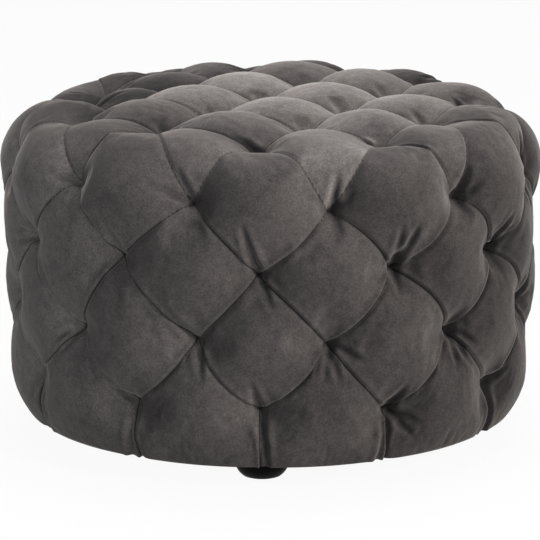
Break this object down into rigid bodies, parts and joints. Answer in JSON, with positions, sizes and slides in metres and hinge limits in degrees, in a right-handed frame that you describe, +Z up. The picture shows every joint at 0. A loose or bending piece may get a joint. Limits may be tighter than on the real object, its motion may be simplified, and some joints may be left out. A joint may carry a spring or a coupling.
{
  "type": "footstool",
  "caption": "Round upholstered footstool with a deep diamond-tufted velvet cover over sides and top, standing on low round feet.",
  "frame": {"origin": "centre of the footprint, on the floor", "axes": "+Z up along the drum's axis, -Y to the front foot"},
  "size_m": [0.699, 0.699, 0.43],
  "materials": {
    "velvet": "grey cotton velvet, short nap with a soft sheen",
    "foam": "open-cell upholstery foam",
    "plywood": "raw birch plywood",
    "stave_wood": "raw planed pine",
    "staple_wire": "galvanised wire",
    "dust_cloth": "black non-woven cloth",
    "twine": "waxed tufting twine",
    "foot_plastic": "black moulded plastic, fine grain",
    "screw_steel": "zinc-plated steel"
  },
  "bodies": {
    "root": {"base_board": "plywood", "dust_cover": "dust_cloth", "foot_1": "foot_plastic", "foot_2": "foot_plastic", "foot_3": "foot_plastic", "foot_4": "foot_plastic", "foot_screws": "screw_steel", "frame_staples": "staple_wire", "hem_staples": "staple_wire", "side_foam": "foam", "side_tuft_ties": "twine", "stave_01": "stave_wood", "stave_02": "stave_wood", "stave_03": "stave_wood", "stave_04": "stave_wood", "stave_05": "stave_wood", "stave_06": "stave_wood", "stave_07": "stave_wood", "stave_08": "stave_wood", "stave_09": "stave_wood", "stave_10": "stave_wood", "stave_11": "stave_wood", "stave_12": "stave_wood", "stave_13": "stave_wood", "stave_14": "stave_wood", "stave_15": "stave_wood", "stave_16": "stave_wood", "stave_17": "stave_wood", "stave_18": "stave_wood", "stave_19": "stave_wood", "stave_20": "stave_wood", "stave_21": "stave_wood", "stave_22": "stave_wood", "stave_23": "stave_wood", "stave_24": "stave_wood", "top_board": "plywood", "top_foam": "foam", "top_tuft_ties": "twine", "velvet_cover": "velvet"}
  },
  "joints": []
}
